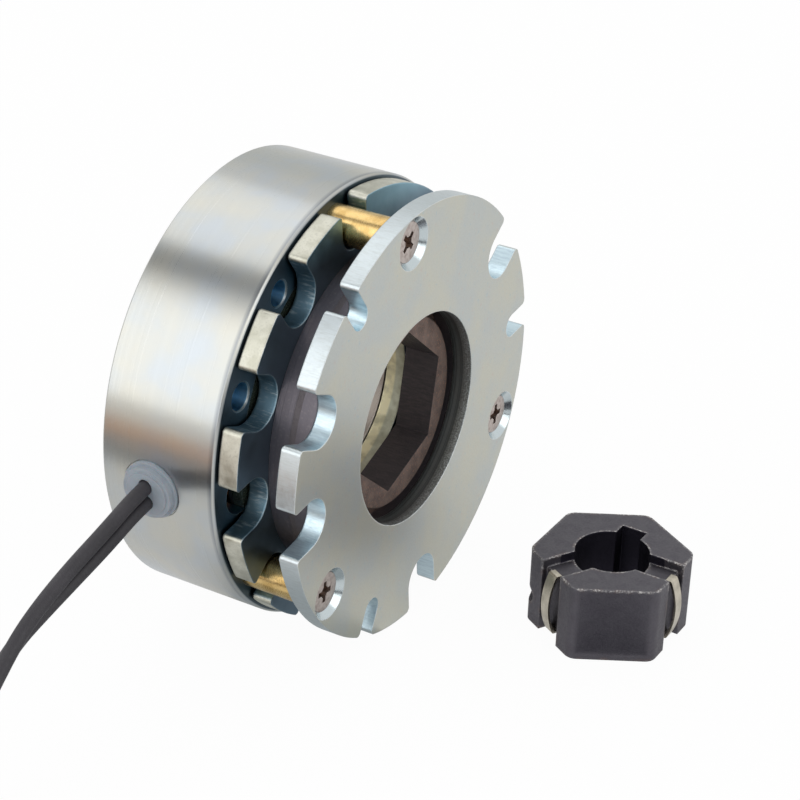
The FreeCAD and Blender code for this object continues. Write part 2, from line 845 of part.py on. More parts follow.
def make_hub_spring(name, turn):
    """A bowed leaf clip that lies in one side groove and hooks into both end channels."""
    body = new_body(name)
    middle = size.hub_height / 2
    leg_face = middle - size.channel_depth + size.clip_gap
    leg_back = leg_face + size.clip_thick
    foot = hub_apothem - size.clip_inset
    crown = hub_apothem + size.clip_bow
    inner_foot = foot - size.clip_thick
    inner_crown = crown - size.clip_thick
    end = hub_apothem - size.clip_leg
    profile = sketch_on(body, "XZ_Plane", "profile", size.clip_width / -2)

    def bow(corner, height, peak):
        low = Vector(number(corner), -number(height), 0)
        high = Vector(number(corner), number(height), 0)
        arc = Part.Arc(low, Vector(number(peak), 0, 0), high)
        line = profile.addGeometry(arc, False)
        hold_point(profile, line, 1, corner, -height)
        hold_point(profile, line, 2, corner, height)
        top = profile.addGeometry(Part.Point(Vector(number(peak), 0, 0)), True)
        hold_point(profile, top, 1, peak, 0)
        profile.addConstraint(Sketcher.Constraint("PointOnObject", top, 1, line))
        return line

    outer = bow(foot, leg_back, crown)
    inner = bow(inner_foot, leg_face, inner_crown)
    for sign, ends in ((-1, 1), (1, 2)):
        back = leg_back * sign
        face = leg_face * sign
        corners = [(foot, back), (end, back), (end, face), (inner_foot, face)]
        spots = [Vector(number(across), number(up), 0) for across, up in corners]
        lines = []
        for here, there in zip(spots, spots[1:]):
            lines.append(profile.addGeometry(Part.LineSegment(here, there), False))
        profile.addConstraint(Sketcher.Constraint("Coincident", outer, ends, lines[0], 1))
        profile.addConstraint(Sketcher.Constraint("Coincident", lines[0], 2, lines[1], 1))
        profile.addConstraint(Sketcher.Constraint("Coincident", lines[1], 2, lines[2], 1))
        profile.addConstraint(Sketcher.Constraint("Coincident", lines[2], 2, inner, ends))
        hold_point(profile, lines[1], 1, end, back)
        hold_point(profile, lines[1], 2, end, face)
    feature = padded(body, profile, size.clip_width)

    def bend(shape, edge):
        ends = [vertex.Point for vertex in edge.Vertexes]
        level = abs(ends[0].z - ends[1].z) < ON_LINE
        across = abs(ends[0].x - number(foot)) < ON_LINE
        return level and across and abs(ends[0].x - ends[1].x) < ON_LINE

    rounded(body, feature, "bends", size.clip_bend, bend)
    put(body, size.hub_x, size.hub_y, floor + middle, (0, 0, 1), turn)
    return body


def make_set_screw():
    """The set screw with its hexagon socket, in the hub's corner."""
    body = new_body("hub_set_screw")
    start = size.hub_bore + size.set_screw_inset
    sketch = sketch_on(body, "YZ_Plane", "section", start)
    circle(sketch, size.set_screw_radius)
    padded(body, sketch, size.set_screw_length)
    socket = sketch_on(body, "YZ_Plane", "socket", start + size.set_screw_length)
    hexagon(socket, size.set_screw_flats)
    cut(body, socket, size.set_screw_socket)
    turn = size.hub_turn + 7 * FULL_TURN / 12
    put(body, size.hub_x, size.hub_y, floor + size.set_screw_height, (0, 0, 1), turn)
    return body


def rounded_route(name, points):
    """Straight runs joined by arcs as large as the two runs beside each point allow."""
    edges = []
    radii = []
    here = points[0]
    for before, corner, after in zip(points, points[1:], points[2:]):
        inward = corner - before
        outward = after - corner
        half = inward.getAngle(outward) / 2
        setback = 0.45 * min(inward.Length, outward.Length)
        radii.append(setback / math.tan(half))
        inward.normalize()
        outward.normalize()
        start = corner - inward * setback
        end = corner + outward * setback
        towards = outward - inward
        towards.normalize()
        crown = corner + towards * (radii[-1] / math.cos(half) - radii[-1])
        edges.append(Part.LineSegment(here, start).toShape())
        edges.append(Part.Arc(start, crown, end).toShape())
        here = end
    edges.append(Part.LineSegment(here, points[-1]).toShape())
    print(name, "bend radii:", ", ".join("%.1f" % radius for radius in radii))
    return Part.Wire(edges)


def make_lead(name, side, free_points):
    """A lead from its splice, out through the grommet, to where its coil begins."""
    lead = new_feature(name)
    offset = side * number(size.lead_spacing) / 2
    points = [lead_exit(number(lead_start), offset), lead_exit(number(first_bend), offset)]
    points += [Vector(*point) for point in free_points]
    route = rounded_route(name, points)
    first = points[1] - points[0]
    radius = number(size.lead_radius)
    section = Part.Wire(Part.makeCircle(radius, points[0], first))
    lead.Shape = route.makePipeShell([section], True, False)
    expected = math.pi * radius ** 2 * route.Length
    print(name, "length %.1f, volume %.1f of %.1f" % (route.Length, lead.Shape.Volume, expected))
    return lead


LEAD_1_POINTS = [
    (10.4, -55.3, -4.8),
    (10.4, -64.5, -6.9),
    (10.4, -72.8, -9.5),
    (10.4, -79.5, -12.6),
    (10.5, -86.6, -18.1),
    (10.7, -94.0, -24.2),
    (10.8, -100.8, -28.4),
    (10.85, -107.6, -30.6),
    (10.9, -114.4, -31.2),
]

LEAD_2_POINTS = [
    (10.4, -54.5, -7.7),
    (10.3, -63.8, -9.7),
    (9.7, -71.8, -12.1),
    (8.9, -78.3, -14.7),
    (8.3, -85.4, -19.7),
    (8.1, -93.3, -25.3),
    (8.0, -100.6, -29.0),
    (8.0, -106.6, -30.7),
    (8.1, -110.9, -31.2),
]


def make_lead_coil():
    """The outer shape of the coiled leads, and the tie round them."""
    body = new_body("lead_coil")
    half = (size.coil_lane + size.lead_radius * 2) / 2
    base = floor + size.tie_thick + size.tie_gap
    inner = size.coil_mean - half
    outer = size.coil_mean + half
    profile = sketch_on(body, "XZ_Plane", "profile")
    rectangle(profile, inner, 0, outer, size.coil_height)
    feature = turned(body, profile, "V_Axis")

    def rim(shape, edge):
        return isinstance(edge.Curve, Part.Circle)

    rounded(body, feature, "soft_edges", size.lead_radius, rim)
    put(body, size.coil_x, size.coil_y, base, (0, 0, 1))

    tie = new_body("coil_tie")
    low = size.tie_gap * -1
    high = size.coil_height + size.tie_gap
    inside = inner - size.tie_gap
    outside = outer + size.tie_gap
    wall = size.tie_thick
    band = sketch_on(tie, "XZ_Plane", "band", size.tie_width / -2)
    rectangle(band, inside - wall, low - wall, outside + wall, high + wall)
    padded(tie, band, size.tie_width)
    head = sketch_on(tie, "XZ_Plane", "head", size.tie_head / -2)
    rectangle(head, outside, size.coil_height / 2 - size.tie_head / 2, outside + size.tie_head,
              size.coil_height / 2 + size.tie_head / 2)
    padded(tie, head, size.tie_head)
    window = sketch_on(tie, "XZ_Plane", "window", size.tie_head * -1)
    rectangle(window, inside, low, outside, high)
    cut(tie, window, size.tie_head * 2, forward=True)
    put(tie, size.coil_x, size.coil_y, base, (0, 0, 1), size.tie_angle)
    return [body, tie]


def make_lead_tip(name, angle, run, lane):
    """The bare tinned end of a lead, where it leaves the coil along a tangent."""
    body = new_body(name)
    section = sketch_on(body, "XZ_Plane", "section", run)
    circle(section, size.tip_radius, lane, 0)
    padded(body, section, size.tip_length)
    height = floor + size.tie_thick + size.tie_gap + size.lead_radius
    put(body, size.coil_x, size.coil_y, height, (0, 0, 1), angle)
    return body


def faulty(item):
    return "Invalid" in item.State or "Error" in item.State


def check_and_write(pieces):
    """Stop on any fault in the document, then write each piece to its own file."""
    doc.recompute()
    bad = [item.Name for item in doc.Objects if faulty(item)]
    for item in doc.Objects:
        if item.TypeId == "PartDesign::Pocket":
            base = item.BaseFeature
            if base is not None and item.Shape.Volume > base.Shape.Volume - ON_LINE:
                bad.append(item.Name + " cuts nothing")
    for piece in pieces:
        if piece.Shape.isNull() or not piece.Shape.isValid() or not piece.Shape.Solids:
            bad.append(piece.Label + " has no valid shape")
    if bad:
        raise RuntimeError("faults: " + ", ".join(bad))
    os.makedirs("parts", exist_ok=True)
    for piece in pieces:
        piece.Shape.exportStep("parts/%s.step" % piece.Label)
    print(len(pieces), "nodes written")


def main():
    pieces = [make_field_core(), make_grommet(), make_splices(), make_springs(), make_armature()]
    pieces += make_coil()
    pieces += make_rotor()
    pieces.append(make_side_plate())
    recess_turns = (size.recess_turn_1, size.recess_turn_2, size.recess_turn_3)
    for index, recess_turn in enumerate(recess_turns):
        pieces.append(make_collar(index))
        pieces.append(make_plate_screw(index, recess_turn))
    pieces.append(make_hub())
    pieces.append(make_hub_spring("hub_spring_left", size.hub_turn - 2 * FULL_TURN / 6))
    pieces.append(make_hub_spring("hub_spring_right", size.hub_turn))
    pieces.append(make_set_screw())
    pieces.append(make_lead("lead_1", 1, LEAD_1_POINTS))
    pieces.append(make_lead("lead_2", -1, LEAD_2_POINTS))
    pieces += make_lead_coil()
    half_lane = size.coil_lane / 2
    outer_lane = size.coil_mean + half_lane
    inner_lane = size.coil_mean - half_lane
    pieces.append(make_lead_tip("lead_1_tip", size.tip_1_angle, size.tip_1_run, outer_lane))
    pieces.append(make_lead_tip("lead_2_tip", size.tip_2_angle, size.tip_2_run, inner_lane))
    check_and_write(pieces)


main()
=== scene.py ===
"""Looks, leads and studio for the electromagnetic motor brake.

The frame gives every rigid piece its place, in metres: the brake axis is +X and +Z is up. The
brake lies on its rim, and the hub stands on the same floor beside it.
"""

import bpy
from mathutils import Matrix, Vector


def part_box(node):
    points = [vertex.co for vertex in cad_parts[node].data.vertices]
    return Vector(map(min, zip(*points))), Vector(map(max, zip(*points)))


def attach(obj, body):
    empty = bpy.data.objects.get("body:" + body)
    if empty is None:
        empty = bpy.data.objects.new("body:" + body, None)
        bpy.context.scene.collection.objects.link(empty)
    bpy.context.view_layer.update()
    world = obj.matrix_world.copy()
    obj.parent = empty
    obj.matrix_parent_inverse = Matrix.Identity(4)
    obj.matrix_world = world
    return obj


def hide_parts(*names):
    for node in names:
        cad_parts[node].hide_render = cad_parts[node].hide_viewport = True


bl_info = {
    "name": "Motor brake",
    "version": (1, 0, 0),
    "blender": (4, 5, 0),
    "location": "3D View > Sidebar > Brake",
    "description": "Finishes, leads and studio of an electromagnetic motor brake",
    "category": "Object",
}

import math

import bpy
from mathutils import Matrix, Vector

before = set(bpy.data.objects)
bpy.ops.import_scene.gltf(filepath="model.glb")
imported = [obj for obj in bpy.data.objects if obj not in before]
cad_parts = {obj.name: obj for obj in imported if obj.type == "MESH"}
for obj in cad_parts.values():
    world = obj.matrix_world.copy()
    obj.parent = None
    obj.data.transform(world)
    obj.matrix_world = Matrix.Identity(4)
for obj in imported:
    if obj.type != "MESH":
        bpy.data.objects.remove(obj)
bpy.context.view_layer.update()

MM = 0.001
STATOR = "stator"

# Places that the frame gives
core_low, core_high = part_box("field_core")
plate_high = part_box("side_plate")[1]
armature_low, armature_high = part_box("armature_plate")
screw_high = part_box("plate_screw_1")[1]
coil_low, coil_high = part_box("lead_coil")
hub_low, hub_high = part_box("rotor_hub")
FLOOR = core_low.z
HUB_CENTRE = (hub_low + hub_high) / 2
COIL_CENTRE = (coil_low + coil_high) / 2
RIM_RADIUS = -FLOOR

# Limits between two surfaces of a piece, as radii about the brake axis. Each lies a little off
# the surface that it is named for, which is wholly within it or wholly past it
CORE_BORE_LIMIT = 16.0 * MM
ARMATURE_BORE_LIMIT = 16.6 * MM
ARMATURE_LAND_LIMIT = 40.5 * MM
PLATE_BORE_LIMIT = 20.6 * MM
PLATE_LAND_LIMIT = 41.1 * MM
HEXAGON_LIMIT = 15.8 * MM
ROTOR_RIM_LIMIT = 30.0 * MM

# The same for the hub's bore with its keyway, about the hub's own axis
HUB_BORE_LIMIT = 9.7 * MM

# A wave texture repeats every so many metres, divided by its scale
WAVE_REPEAT = 0.314

# The camera, as fitted to the outlines of the photograph: place in metres, angles in degrees
CAMERA_PLACE = (0.214271, -0.317327, 0.204438)
CAMERA_TURN = -60.6417
CAMERA_LIFT = 28.987
CAMERA_ROLL = -1.8418
SENSOR_WIDTH_MM = 36.0
FOCAL_LENGTH_MM = 103.385


def linear(code):
    """A linear colour from an sRGB hex code."""
    parts = [int(code[start:start + 2], 16) / 255 for start in (0, 2, 4)]
    return tuple(part / 12.92 if part <= 0.04045 else ((part + 0.055) / 1.055) ** 2.4
                 for part in parts)


def colour_property(label, code, told):
    """A colour setting with its default as an sRGB hex code."""
    return bpy.props.FloatVectorProperty(
        name=label, description=told, subtype="COLOR", size=3, min=0.0, max=1.0,
        default=linear(code))


class BrakeColours(bpy.types.PropertyGroup):
    """The colours of the finishes."""

    zinc: colour_property("Zinc", "B4B8B9", "Zinc plating of the magnet body")
    pale_chromate: colour_property("Pale chromate", "B8B0A8", "Passivation in the core bore")
    blue_chromate: colour_property("Blue chromate", "7A98A8", "Passivation on cut and hidden walls")
    armature: colour_property("Armature", "ACAB9D", "Edges of the armature plate")
    plate: colour_property("Side plate", "C3C3B8", "Face of the side plate")
    brass: colour_property("Brass", "D4B67C", "Turned spacer collars")
    screw: colour_property("Screws", "BEB3AD", "Heads of the countersunk screws")
    rotor: colour_property("Rotor", "74625A", "Dark rotor carrier")
    lining: colour_property("Linings", "625E64", "Pressed friction rings")
    hub: colour_property("Hub", "605E63", "Oiled dark steel of the hub")
    wear: colour_property("Worn edge", "D8D6D4", "Bare steel along the hub's edges")
    clip: colour_property("Clips", "C4BDAE", "Leaf spring clips")
    grommet: colour_property("Grommet", "979FA8", "Milky plastic of the lead grommet")
    jacket: colour_property("Lead jacket", "2B292E", "Soft plastic of the leads")


class LeadSizes(bpy.types.PropertyGroup):
    """The two leads and the coil in which their unseen length is put away."""

    length: bpy.props.FloatProperty(
        name="Length", description="Jacket length of each lead, from splice to bare end",
        default=0.4, min=0.3, max=0.6, unit="LENGTH")
    diameter: bpy.props.FloatProperty(
        name="Diameter", description="Outside diameter of a lead", default=0.0027, min=0.002,
        max=0.004, unit="LENGTH")
    pitch: bpy.props.FloatProperty(
        name="Pitch", description="How far a turn of the coil lies under the one before",
        default=0.0027, min=0.0027, max=0.004, unit="LENGTH")


class StudioSettings(bpy.types.PropertyGroup):
    """The plain studio."""

    world_level: bpy.props.FloatProperty(
        name="World", description="Level of the soft light from all round", default=0.75,
        min=0.0, max=2.0)
    floor_size: bpy.props.FloatProperty(
        name="Floor", description="Width of the floor", default=6.0, min=1.0, max=20.0,
        unit="LENGTH")
    bright_share: bpy.props.FloatProperty(
        name="White share", description="How much of the floor's white needs no lamp",
        default=0.96, min=0.0, max=1.0, subtype="FACTOR")
    mirrored_share: bpy.props.FloatProperty(
        name="Mirrored share", description="The same, where metal mirrors the floor",
        default=0.45, min=0.0, max=1.0, subtype="FACTOR")


def add(tree, kind, settings=None, inputs=None):
    """Add a node with its settings. An input takes a value or another node's output."""
    made = tree.nodes.new("ShaderNode" + kind)
    for name, value in (settings or {}).items():
        setattr(made, name, value)
    for name, value in (inputs or {}).items():
        if isinstance(value, bpy.types.NodeSocket):
            tree.links.new(value, made.inputs[name])
        else:
            made.inputs[name].default_value = value
    return made


def opaque(colour):
    """A colour with full alpha."""
    return (*colour, 1.0)


def new_material(name):
    """An empty node tree with its output. Gives the material and the tree."""
    material = bpy.data.materials.new(name)
    material.use_nodes = True
    tree = material.node_tree
    tree.nodes.clear()
    return material, tree


def surface(tree, shader):
    """Lead a shader to the material's surface."""
    add(tree, "OutputMaterial", inputs={"Surface": shader.outputs[0]})


def axis_and_radius(tree):
    """Outputs for the place along the brake axis and the distance from it, in metres."""
    place = add(tree, "TexCoord").outputs["Object"]
    parts = add(tree, "SeparateXYZ", inputs={0: place})
    across = add(tree, "CombineXYZ", inputs={1: parts.outputs[1], 2: parts.outputs[2]})
    radius = add(tree, "VectorMath", {"operation": "LENGTH"}, {0: across.outputs[0]})
    return parts.outputs[0], radius.outputs["Value"]


def turned_lines(tree, spacing):
    """Noise in rings about the brake axis, on rims and on faces alike."""
    along, radius = axis_and_radius(tree)
    rings = add(tree, "CombineXYZ", inputs={0: along, 1: radius})
    return add(tree, "TexNoise", inputs={
        "Vector": rings.outputs[0], "Scale": 1 / spacing, "Detail": 2.0, "Roughness": 0.6})


def stretched_noise(tree, spacing, stretch, detail=3.0):
    """Noise drawn out along the brake axis: fine grain on faces, strokes on cut walls."""
    place = add(tree, "TexCoord").outputs["Object"]
    drawn = add(tree, "Mapping", inputs={"Vector": place, "Scale": (1 / stretch, 1.0, 1.0)})
    return add(tree, "TexNoise", inputs={
        "Vector": drawn.outputs[0], "Scale": 1 / spacing, "Detail": detail, "Roughness": 0.6})


def cloudy(tree, size, detail=2.0):
    """Soft clouds of a given size, for stains and tints."""
    place = add(tree, "TexCoord").outputs["Object"]
    return add(tree, "TexNoise", inputs={
        "Vector": place, "Scale": 1 / size, "Detail": detail, "Roughness": 0.5})


def ramp(tree, source, low, high, low_value=0.0, high_value=1.0):
    """Map a stretch of one value onto another stretch, and hold it past the ends."""
    return add(tree, "MapRange", inputs={
        0: source, 1: low, 2: high, 3: low_value, 4: high_value}).outputs[0]


def blend(tree, share, first, second):
    """Mix two colours by a share."""
    mixed = add(tree, "Mix", {"data_type": "RGBA"}, {0: share, 6: first, 7: second})
    return mixed.outputs[2]


def rounded_edge(tree, radius):
    """A normal that turns softly round the sharp edges."""
    return add(tree, "Bevel", {"samples": 6}, {"Radius": radius}).outputs[0]


def edge_share(tree, radius, low, high):
    """Goes from 0 on flats to 1 close to a sharp edge."""
    soft = rounded_edge(tree, radius)
    flat = add(tree, "NewGeometry").outputs["Normal"]
    same = add(tree, "VectorMath", {"operation": "DOT_PRODUCT"}, {0: soft, 1: flat})
    return ramp(tree, same.outputs["Value"], high, low)


def bumped(tree, height, depth, normal):
    """A normal that follows a height, drawn that many metres deep."""
    return add(tree, "Bump", inputs={
        "Height": height, "Distance": depth, "Normal": normal}).outputs[0]


def facing(tree):
    """How squarely a surface faces along the brake axis, from 0 to 1."""
    normal = add(tree, "NewGeometry").outputs["Normal"]
    parts = add(tree, "SeparateXYZ", inputs={0: normal})
    return add(tree, "Math", {"operation": "ABSOLUTE"}, {0: parts.outputs[0]}).outputs[0]


def both(tree, first, second):
    """The product of two shares."""
    return add(tree, "Math", {"operation": "MULTIPLY"}, {0: first, 1: second}).outputs[0]


def upright(tree, centre):
    """Outputs for the distance from an upright axis, how level a surface lies, and height."""
    place = add(tree, "TexCoord").outputs["Object"]
    height = add(tree, "SeparateXYZ", inputs={0: place}).outputs[2]
    across = add(tree, "VectorMath", {"operation": "MULTIPLY_ADD"}, {
        0: place, 1: (1.0, 1.0, 0.0), 2: (-centre.x, -centre.y, 0.0)})
    distance = add(tree, "VectorMath", {"operation": "LENGTH"}, {0: across.outputs[0]})
    normal = add(tree, "NewGeometry").outputs["Normal"]
    parts = add(tree, "SeparateXYZ", inputs={0: normal})
    level = add(tree, "Math", {"operation": "ABSOLUTE"}, {0: parts.outputs[2]})
    return distance.outputs["Value"], level.outputs[0], height


def metal(tree, colour, rough, normal, metallic=1.0):
    """A metal's surface, or a partly metallic one."""
    surface(tree, add(tree, "BsdfPrincipled", inputs={
        "Base Color": colour, "Metallic": metallic, "Roughness": rough, "Normal": normal}))


def turned_zinc_plate(colours):
    """Turned mild steel with bright zinc on it. Very fine tool lines round the axis draw what it
    mirrors out along the axis, in satin bands, and a painted dark reflection band lies behind the
    rim's bright front edge. Blue passivation on the front face, darkened there as painted shade,
    and in the holes, with painted highlights on their mouths, and a pale one in the bore."""
    material, tree = new_material("turned_zinc_plated_steel")
    along, radius = axis_and_radius(tree)
    lines = turned_lines(tree, 0.12 * MM).outputs[0]
    stains = cloudy(tree, 11 * MM, 3.0).outputs[0]
    zinc = blend(tree, ramp(tree, stains, 0.38, 0.66),
                 opaque(colours.zinc), opaque(linear("BCBBB3")))
    zinc = blend(tree, ramp(tree, stains, 0.5, 0.3, 0.0, 0.6), zinc, opaque(linear("B3BAC1")))
    front = core_high.x
    # Painted dark reflection band on the rim, just behind its bright front edge
    on_rim = ramp(tree, radius, RIM_RADIUS - 0.8 * MM, RIM_RADIUS - 0.5 * MM)
    painted_dark_band = both(tree, on_rim, ramp(tree, along, front - 1.4 * MM, front - 0.7 * MM))
    painted_dark_band = both(tree, painted_dark_band, ramp(tree, along, front - 0.35 * MM, front - 0.55 * MM))
    painted_dark_band = both(tree, painted_dark_band, ramp(tree, facing(tree), 0.4, 0.2, 0.0, 0.75))
    zinc = blend(tree, painted_dark_band, zinc, opaque(linear("83878C")))
    # Front face: blue passivation, darkened as painted shade from the armature close in front of it
    front_film_and_shade = both(tree, facing(tree), ramp(tree, along, front - 0.4 * MM, front - 0.1 * MM))
    front_film_and_shade = both(tree, front_film_and_shade,
                    ramp(tree, radius, RIM_RADIUS - 0.2 * MM, RIM_RADIUS - 0.4 * MM))
    colour = blend(tree, front_film_and_shade, zinc, opaque(linear("525F68")))
    in_hole = ramp(tree, radius, RIM_RADIUS - 0.8 * MM, RIM_RADIUS - 1.2 * MM)
    walls = both(tree, in_hole, ramp(tree, facing(tree), 0.5, 0.2))
    colour = blend(tree, walls, colour, opaque(linear("98C8E2")))
    # Painted highlights on the mouths of the holes
    mouths = both(tree, in_hole, edge_share(tree, 0.2 * MM, 0.86, 0.98))
    mouths = both(tree, mouths, ramp(tree, stains, 0.4, 0.6, 0.4, 0.9))
    colour = blend(tree, mouths, colour, opaque(linear("DCE8EC")))
    in_bore = ramp(tree, radius, CORE_BORE_LIMIT + 0.4 * MM, CORE_BORE_LIMIT)
    colour = blend(tree, in_bore, colour, opaque(colours.pale_chromate))
    rough = ramp(tree, lines, 0.3, 0.7, 0.27, 0.34)
    waves = bumped(tree, stains, 0.03 * MM, rounded_edge(tree, 0.2 * MM))
    tangent = add(tree, "Tangent", {"direction_type": "RADIAL", "axis": "X"})
    surface(tree, add(tree, "BsdfPrincipled", inputs={
        "Base Color": colour, "Metallic": 1.0, "Roughness": rough, "Anisotropic": 0.85,
        "Anisotropic Rotation": 0.25, "Tangent": tangent.outputs[0],
        "Normal": bumped(tree, lines, 0.001 * MM, waves)}))
    return material


def chromated_armature(colours):
    """Punched soft-iron plate with thin chromate: mottled pale grey on the rolled edges, dark blue
    on the faces with painted light making them lighter on their topmost part, light scratches in
    the notches, painted highlights along the edges, and yellow-green in the bore."""
    material, tree = new_material("chromated_soft_iron")
    along, radius = axis_and_radius(tree)
    squarely = facing(tree)
    grain = cloudy(tree, 0.4 * MM, 4.0).outputs[0]
    stains = cloudy(tree, 3 * MM, 5.0).outputs[0]
    strokes = stretched_noise(tree, 0.5 * MM, 5).outputs[0]
    mottled = blend(tree, ramp(tree, stains, 0.36, 0.64),
                    opaque(colours.armature), opaque(linear("CAC9BD")))
    mottled = blend(tree, ramp(tree, grain, 0.5, 0.68, 0.0, 0.3), mottled,
                    opaque(linear("94948A")))
    # Painted highlights along the edges, in patches, on the lands and below in the notches
    edges = both(tree, edge_share(tree, 0.35 * MM, 0.85, 0.99),
                 ramp(tree, stains, 0.4, 0.6, 0.3, 0.9))
    mottled = blend(tree, edges, mottled, opaque(linear("D6D8D2")))
    # Painted light: the blue faces turn lighter towards their top, where light from above falls
    place = add(tree, "TexCoord").outputs["Object"]
    height = add(tree, "SeparateXYZ", inputs={0: place}).outputs[2]
    painted_top_light = ramp(tree, height, RIM_RADIUS - 8.8 * MM, RIM_RADIUS - 3.8 * MM)
    face_film_and_light = blend(tree, painted_top_light, opaque(linear("6A7D8C")), opaque(linear("90B5C5")))
    film = blend(tree, ramp(tree, squarely, 0.5, 0.9), opaque(colours.blue_chromate), face_film_and_light)
    scratches = both(tree, ramp(tree, strokes, 0.5, 0.64),
                     ramp(tree, stains, 0.42, 0.6, 0.0, 0.9))
    scratches = both(tree, scratches, ramp(tree, squarely, 0.7, 0.4))
    dark = blend(tree, scratches, film, opaque(linear("C6D6DC")))
    # Painted highlights along the edges of the notches and faces
    dark = blend(tree, edges, dark, opaque(linear("BCCED4")))
    on_land = both(tree, ramp(tree, radius, ARMATURE_LAND_LIMIT - 0.5 * MM, ARMATURE_LAND_LIMIT),
                   ramp(tree, squarely, 0.6, 0.9, 1.0, 0.0))
    colour = blend(tree, on_land, dark, mottled)
    middle = (armature_low.x + armature_high.x) / 2
    yellow = blend(tree, ramp(tree, along, middle - 0.15 * MM, middle + 0.15 * MM),
                   opaque(linear("FBF6D2")), opaque(linear("D4D8C6")))
    bore_tone = blend(tree, ramp(tree, stains, 0.42, 0.62, 0.0, 0.6), yellow,
                      opaque(linear("A09F88")))
    in_bore = both(tree, ramp(tree, radius, ARMATURE_BORE_LIMIT + 0.4 * MM, ARMATURE_BORE_LIMIT),
                   ramp(tree, squarely, 0.7, 0.4))
    colour = blend(tree, in_bore, colour, bore_tone)
    normal = bumped(tree, stains, 0.06 * MM, rounded_edge(tree, 0.45 * MM))
    metal(tree, colour, ramp(tree, stains, 0.3, 0.7, 0.36, 0.5), normal)
    return material


def plated_side_plate(colours):
    """Ground and plated steel plate: a quiet warm grey face with small blue and pink specks,
    punched walls with a bluish film, painted highlights along the edges, and a dark bore with
    cutting rings that is torn into bright flecks towards its front edge."""
    material, tree = new_material("ground_plated_steel")
    along, radius = axis_and_radius(tree)
    tints = cloudy(tree, 9 * MM, 5.0).outputs[0]
    specks = cloudy(tree, 1.1 * MM, 3.0).outputs[0]
    grain = cloudy(tree, 0.35 * MM, 3.0).outputs[0]
    face = blend(tree, ramp(tree, tints, 0.36, 0.62),
                 opaque(linear("BCC0BD")), opaque(colours.plate))
    face = blend(tree, ramp(tree, specks, 0.62, 0.72, 0.0, 0.35), face, opaque(linear("9DB7C4")))
    face = blend(tree, ramp(tree, specks, 0.38, 0.3, 0.0, 0.3), face, opaque(linear("C4AFA6")))
    squarely = facing(tree)
    on_wall = ramp(tree, squarely, 0.6, 0.3)
    streaks = stretched_noise(tree, 0.3 * MM, 8).outputs[0]
    on_land = both(tree, on_wall, ramp(tree, radius, PLATE_LAND_LIMIT - 0.3 * MM, PLATE_LAND_LIMIT))
    land = blend(tree, ramp(tree, streaks, 0.45, 0.68), opaque(linear("C1C9CC")),
                 opaque(linear("B8BFC0")))
    face = blend(tree, on_land, face, land)
    in_notch = both(tree, on_wall,
                    ramp(tree, radius, PLATE_LAND_LIMIT - 0.1 * MM, PLATE_LAND_LIMIT - 0.5 * MM))
    film = blend(tree, ramp(tree, streaks, 0.42, 0.62), opaque(linear("C8DAE1")),
                 opaque(linear("BACCD5")))
    colour = blend(tree, in_notch, face, film)
    in_sink = both(tree, ramp(tree, squarely, 0.42, 0.5), ramp(tree, squarely, 0.92, 0.85))
    colour = blend(tree, in_sink, colour, opaque(linear("C0CACD")))
    flecks = cloudy(tree, 0.28 * MM, 4.0).outputs[0]
    torn = both(tree, ramp(tree, along, plate_high.x - 2.0 * MM, plate_high.x - 0.8 * MM),
                ramp(tree, flecks, 0.42, 0.66, 0.25, 1.0))
    rings = turned_lines(tree, 0.3 * MM).outputs[0]
    bore_tone = blend(tree, ramp(tree, rings, 0.42, 0.62), opaque(linear("6E7678")),
                      opaque(linear("8E999B")))
    bore_tone = blend(tree, torn, bore_tone, opaque(linear("DCE6E8")))
    in_bore = both(tree, on_wall, ramp(tree, radius, PLATE_BORE_LIMIT + 0.4 * MM, PLATE_BORE_LIMIT))
    colour = blend(tree, in_bore, colour, bore_tone)
    # Painted highlights along the plate's sharp edges, in patches
    edges = both(tree, edge_share(tree, 0.25 * MM, 0.86, 0.98),
                 ramp(tree, tints, 0.36, 0.6, 0.3, 0.9))
    colour = blend(tree, edges, colour, opaque(linear("E6EAEA")))
    rough = ramp(tree, in_sink, 0.0, 1.0, ramp(tree, grain, 0.3, 0.7, 0.32, 0.48), 0.2)
    soft = bumped(tree, grain, 0.008 * MM, rounded_edge(tree, 0.3 * MM))
    deep = both(tree, both(tree, in_bore, torn), grain)
    metal(tree, colour, rough, bumped(tree, deep, 0.04 * MM, soft))
    return material


def turned_brass(colours):
    """Turned brass sleeve: pale gold, dulled by tarnish, with soft long highlights."""
    material, tree = new_material("turned_brass")
    strokes = stretched_noise(tree, 0.4 * MM, 0.1).outputs[0]
    tarnish = cloudy(tree, 2 * MM, 5.0).outputs[0]
    colour = blend(tree, ramp(tree, tarnish, 0.44, 0.62, 0.0, 0.75),
                   opaque(colours.brass), opaque(linear("B8985E")))
    normal = bumped(tree, tarnish, 0.05 * MM, rounded_edge(tree, 0.15 * MM))
    metal(tree, colour, ramp(tree, strokes, 0.3, 0.7, 0.2, 0.32), normal)
    return material


def plated_screw_head(colours):
    """Cold-headed plated screw: pinkish grey with tiny dents, and browner in the recess."""
    material, tree = new_material("plated_screw_steel")
    dents = cloudy(tree, 0.8 * MM, 4.0).outputs[0]
    along, _ = axis_and_radius(tree)
    sunk = ramp(tree, along, screw_high.x - 0.1 * MM, screw_high.x - 0.5 * MM)
    head = blend(tree, ramp(tree, dents, 0.45, 0.65, 0.0, 0.7), opaque(colours.screw),
                 opaque(linear("9F918B")))
    colour = blend(tree, sunk, head, opaque(linear("A8968C")))
    normal = bumped(tree, dents, 0.03 * MM, rounded_edge(tree, 0.12 * MM))
    metal(tree, colour, ramp(tree, dents, 0.3, 0.7, 0.32, 0.5), normal)
    return material


